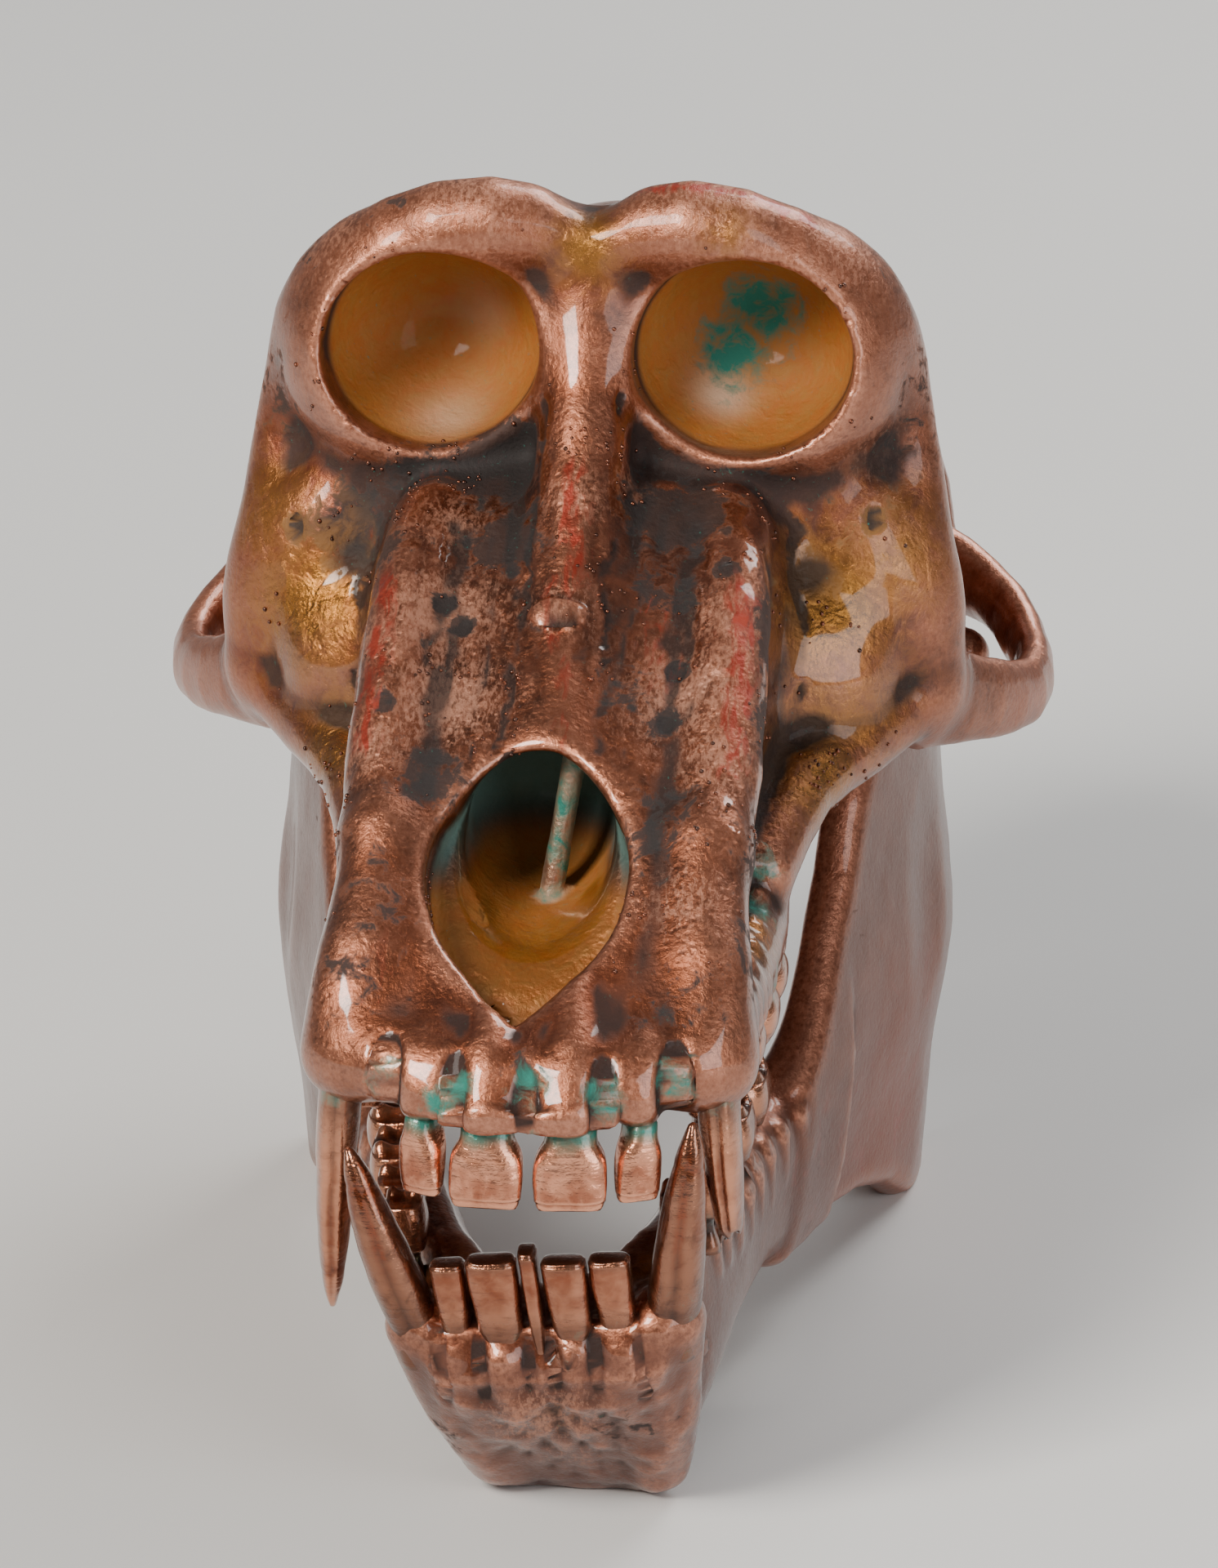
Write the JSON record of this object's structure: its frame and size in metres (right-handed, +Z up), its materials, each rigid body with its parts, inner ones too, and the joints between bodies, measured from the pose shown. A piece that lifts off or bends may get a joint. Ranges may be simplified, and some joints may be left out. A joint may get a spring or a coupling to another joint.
{
  "type": "baboon skull",
  "caption": "Baboon skull with its lower jaw a little open, bared fangs and arched cheekbones, plated in aged copper, standing on the jaw.",
  "frame": {"origin": "centre of the bounding box on the surface that the lower jaw stands on", "axes": "+Z up, the face looks along -Y, +X is the skull's own left"},
  "size_m": [0.1138, 0.1997, 0.144],
  "materials": {
    "skull_copper": "glossy lacquered copper plating over bone, salmon where rubbed, brown-black in hollows, red oxide streaks, amber lacquer in the eye sockets and on the cheeks, specks of verdigris",
    "jaw_copper": "darker glossy copper plating, brown with a red glow towards the angle of the jaw and salmon on the chin",
    "tooth_copper": "bright polished copper plating with dark patches in hollows and verdigris at the gums"
  },
  "bodies": {
    "root": {"cranium": "skull_copper", "mandible": "jaw_copper", "upper_left_central_incisor": "tooth_copper", "upper_left_lateral_incisor": "tooth_copper", "upper_left_canine": "tooth_copper", "upper_left_first_premolar": "tooth_copper", "upper_left_second_premolar": "tooth_copper", "upper_left_first_molar": "tooth_copper", "upper_left_second_molar": "tooth_copper", "upper_left_third_molar": "tooth_copper", "upper_right_central_incisor": "tooth_copper", "upper_right_lateral_incisor": "tooth_copper", "upper_right_canine": "tooth_copper", "upper_right_first_premolar": "tooth_copper", "upper_right_second_premolar": "tooth_copper", "upper_right_first_molar": "tooth_copper", "upper_right_second_molar": "tooth_copper", "upper_right_third_molar": "tooth_copper", "lower_left_central_incisor": "tooth_copper", "lower_left_lateral_incisor": "tooth_copper", "lower_left_canine": "tooth_copper", "lower_left_first_premolar": "tooth_copper", "lower_left_second_premolar": "tooth_copper", "lower_left_first_molar": "tooth_copper", "lower_left_second_molar": "tooth_copper", "lower_left_third_molar": "tooth_copper", "lower_right_central_incisor": "tooth_copper", "lower_right_lateral_incisor": "tooth_copper", "lower_right_canine": "tooth_copper", "lower_right_first_premolar": "tooth_copper", "lower_right_second_premolar": "tooth_copper", "lower_right_first_molar": "tooth_copper", "lower_right_second_molar": "tooth_copper", "lower_right_third_molar": "tooth_copper", "lower_middle_peg_tooth": "tooth_copper"}
  },
  "joints": []
}
